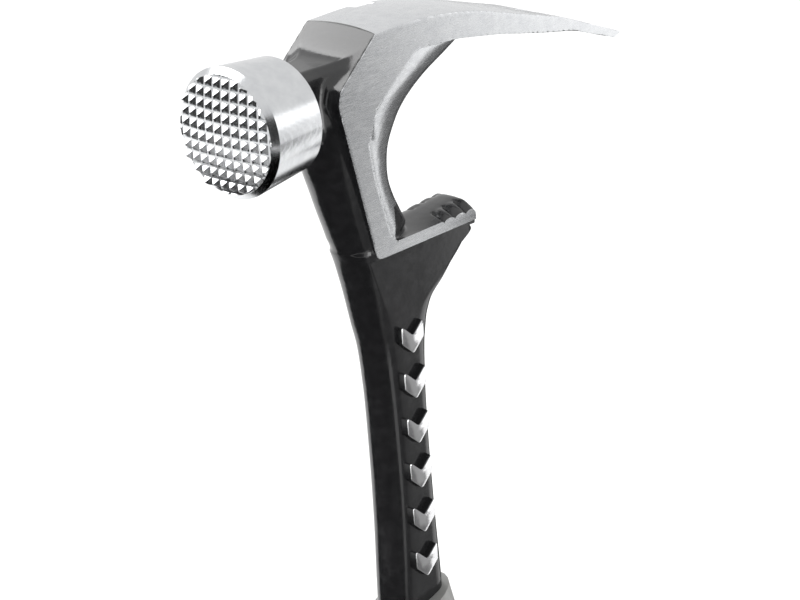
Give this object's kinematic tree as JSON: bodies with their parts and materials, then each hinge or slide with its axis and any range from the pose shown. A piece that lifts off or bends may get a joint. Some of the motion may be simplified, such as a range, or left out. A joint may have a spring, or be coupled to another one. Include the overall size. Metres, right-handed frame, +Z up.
{
  "type": "demolition hammer",
  "caption": "One-piece forged steel hammer with a milled striking face, straight rip claw, toothed board jaw, slim shank and moulded grip.",
  "frame": {"origin": "centre of the butt cap's face, on the handle axis", "axes": "+Z up along the handle to the head, +X towards the claw, -X towards the striking face, +Y to the tool's left side"},
  "size_m": [0.1328, 0.032, 0.38],
  "materials": {
    "forged_steel": "semi-gloss black paint, with the striking poll, claw and cheeks ground bare",
    "damper_elastomer": "matt cast elastomer",
    "core_plastic": "rigid moulded plastic",
    "grip_rubber": "matt moulded rubber",
    "collar_plastic": "satin moulded plastic",
    "inlay_plastic": "satin moulded plastic",
    "cap_plastic": "satin moulded plastic"
  },
  "bodies": {
    "root": {"forged_body": "forged_steel", "vibration_damper": "damper_elastomer", "grip_core": "core_plastic", "rubber_grip": "grip_rubber", "grip_collar": "collar_plastic", "left_inlay": "inlay_plastic", "right_inlay": "inlay_plastic", "butt_cap": "cap_plastic"}
  },
  "joints": []
}
